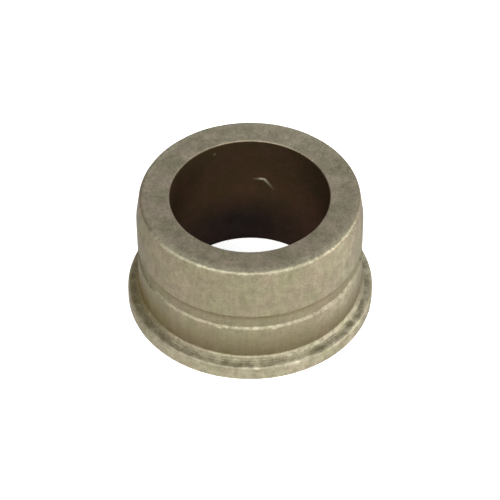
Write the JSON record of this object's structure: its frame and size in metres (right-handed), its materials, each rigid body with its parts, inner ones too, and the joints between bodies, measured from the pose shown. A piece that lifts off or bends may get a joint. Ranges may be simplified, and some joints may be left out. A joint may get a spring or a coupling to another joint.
{
  "type": "flanged plain bushing",
  "caption": "Flanged sleeve bushing in oil-bearing sintered bronze, with a smooth shaft bore, a tapered lead-in, a shallow outside groove and a thin flange.",
  "frame": {"origin": "centre of the flange's underside, on the bore axis", "axes": "+Z along the bore axis, from the flange towards the tapered end; X and Y are free, because the part is round"},
  "size_m": [0.035, 0.035, 0.0193],
  "materials": {
    "sintered_bronze": "fine-grained matt sintered bronze, worn bright on its edges, darkened by oil in the bore"
  },
  "bodies": {
    "root": {"flanged_bushing": "sintered_bronze"}
  },
  "joints": []
}
